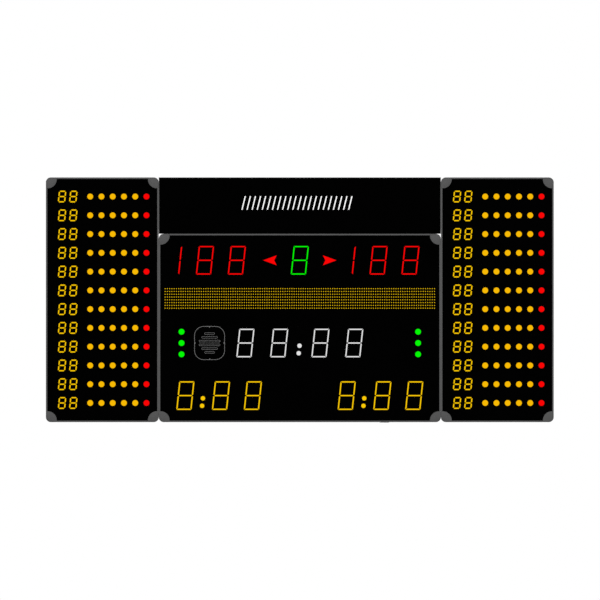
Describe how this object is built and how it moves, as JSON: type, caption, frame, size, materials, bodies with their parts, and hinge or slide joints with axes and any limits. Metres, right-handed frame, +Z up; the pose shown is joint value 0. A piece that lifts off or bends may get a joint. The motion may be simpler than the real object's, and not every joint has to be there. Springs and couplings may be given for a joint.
{
  "type": "electronic scoreboard",
  "caption": "Wide wall-hung electronic scoreboard with seven-segment figures, foul lights, a dot matrix, a horn and an advert panel, in framed cabinets with rear service doors.",
  "frame": {"origin": "middle of the upper wall rail's back face, on the wall plane", "axes": "+X to the right as seen from the front, along the board's length; +Y into the wall; +Z up"},
  "size_m": [3.6006, 0.1314, 1.7394],
  "materials": {
    "frame_paint": "dark grey powder coat",
    "corner_plastic": "fine texture",
    "front_sheet": "matt black",
    "lens_yellow": "lit lens",
    "lens_red": "lit lens",
    "lens_green": "lit lens",
    "lens_white": "lit lens",
    "cover_sheet": "brushed mill finish",
    "door_paint": "dark grey powder coat",
    "zinc_steel": "zinc plated",
    "supply_case": "folded sheet",
    "circuit_board": "solder mask",
    "black_plastic": "moulded"
  },
  "bodies": {
    "root": {"left_frame": "frame_paint", "left_corner_cap_bottom_left": "corner_plastic", "left_corner_cap_top_left": "corner_plastic", "left_corner_cap_top_right": "corner_plastic", "left_corner_cap_bottom_right": "corner_plastic", "left_front_sheet": "front_sheet", "left_player_module_lower": "lens_yellow", "left_player_module_middle": "lens_yellow", "left_player_module_upper": "lens_yellow", "left_rear_cover": "cover_sheet", "left_hanger": "zinc_steel", "left_power_supply": "supply_case", "right_frame": "frame_paint", "right_corner_cap_bottom_left": "corner_plastic", "right_corner_cap_top_left": "corner_plastic", "right_corner_cap_top_right": "corner_plastic", "right_corner_cap_bottom_right": "corner_plastic", "right_front_sheet": "front_sheet", "right_player_module_lower": "lens_yellow", "right_player_module_middle": "lens_yellow", "right_player_module_upper": "lens_yellow", "right_rear_cover": "cover_sheet", "right_hanger": "zinc_steel", "right_power_supply": "supply_case", "centre_frame": "frame_paint", "centre_corner_cap_bottom_left": "corner_plastic", "centre_corner_cap_top_left": "corner_plastic", "centre_corner_cap_top_right": "corner_plastic", "centre_corner_cap_bottom_right": "corner_plastic", "centre_front_sheet": "front_sheet", "home_score_module": "lens_red", "guest_score_module": "lens_red", "period_module": "lens_green", "name_matrix": "lens_yellow", "clock_module": "lens_white", "home_timeout_lights": "lens_green", "guest_timeout_lights": "lens_green", "home_penalty_module": "lens_yellow", "guest_penalty_module": "lens_yellow", "horn_grille": "black_plastic", "horn_driver": "zinc_steel", "centre_rear_cover": "cover_sheet", "centre_hanger": "zinc_steel", "equipment_plate": "zinc_steel", "centre_power_supply": "supply_case", "controller_board": "circuit_board", "power_inlet": "black_plastic", "advert_panel": "frame_paint", "upper_wall_rail": "zinc_steel", "lower_wall_rail": "zinc_steel"},
    "left_door": {"left_service_door": "door_paint"},
    "left_latch": {"left_door_latch": "black_plastic"},
    "right_door": {"right_service_door": "door_paint"},
    "right_latch": {"right_door_latch": "black_plastic"},
    "horn_cone": {"horn_cone": "black_plastic"},
    "centre_door": {"centre_service_door": "door_paint"},
    "centre_latch_lower": {"centre_door_latch_lower": "black_plastic"},
    "centre_latch_upper": {"centre_door_latch_upper": "black_plastic"},
    "power_switch": {"power_switch": "black_plastic"},
    "fuse_drawer": {"fuse_drawer": "black_plastic"}
  },
  "joints": [
    {"name": "left_door_hinge", "type": "hinge", "parent": "root", "child": "left_door", "pos_m": [-1.6878, -0.0283, -0.53], "axis": [0, 0, 1], "range_deg": [0, 105]},
    {"name": "left_latch_turn", "type": "hinge", "parent": "left_door", "child": "left_latch", "pos_m": [-1.1553, -0.0335, -0.53], "axis": [0, 1, 0], "range_deg": [0, 90]},
    {"name": "right_door_hinge", "type": "hinge", "parent": "root", "child": "right_door", "pos_m": [1.1128, -0.0283, -0.53], "axis": [0, 0, 1], "range_deg": [0, 105]},
    {"name": "right_latch_turn", "type": "hinge", "parent": "right_door", "child": "right_latch", "pos_m": [1.6453, -0.0335, -0.53], "axis": [0, 1, 0], "range_deg": [0, 90]},
    {"name": "centre_door_hinge", "type": "hinge", "parent": "root", "child": "centre_door", "pos_m": [-0.4725, -0.0283, -0.53], "axis": [0, 0, 1], "range_deg": [0, 105]},
    {"name": "centre_latch_lower_turn", "type": "hinge", "parent": "centre_door", "child": "centre_latch_lower", "pos_m": [0.43, -0.0335, -0.767], "axis": [0, 1, 0], "range_deg": [0, 90]},
    {"name": "centre_latch_upper_turn", "type": "hinge", "parent": "centre_door", "child": "centre_latch_upper", "pos_m": [0.43, -0.0335, -0.293], "axis": [0, 1, 0], "range_deg": [0, 90]},
    {"name": "power_switch_rock", "type": "hinge", "parent": "root", "child": "power_switch", "pos_m": [0.619, -0.0839, -1.1828], "axis": [0, 1, 0], "range_deg": [-18, 0]},
    {"name": "fuse_drawer_slide", "type": "slide", "parent": "root", "child": "fuse_drawer", "axis": [0, 0, -1], "range_m": [0, 0.015]},
    {"name": "horn_cone_travel", "type": "slide", "parent": "root", "child": "horn_cone", "axis": [0, 1, 0], "range_m": [-0.002, 0.002], "stiffness_N_per_m": 2000}
  ]
}
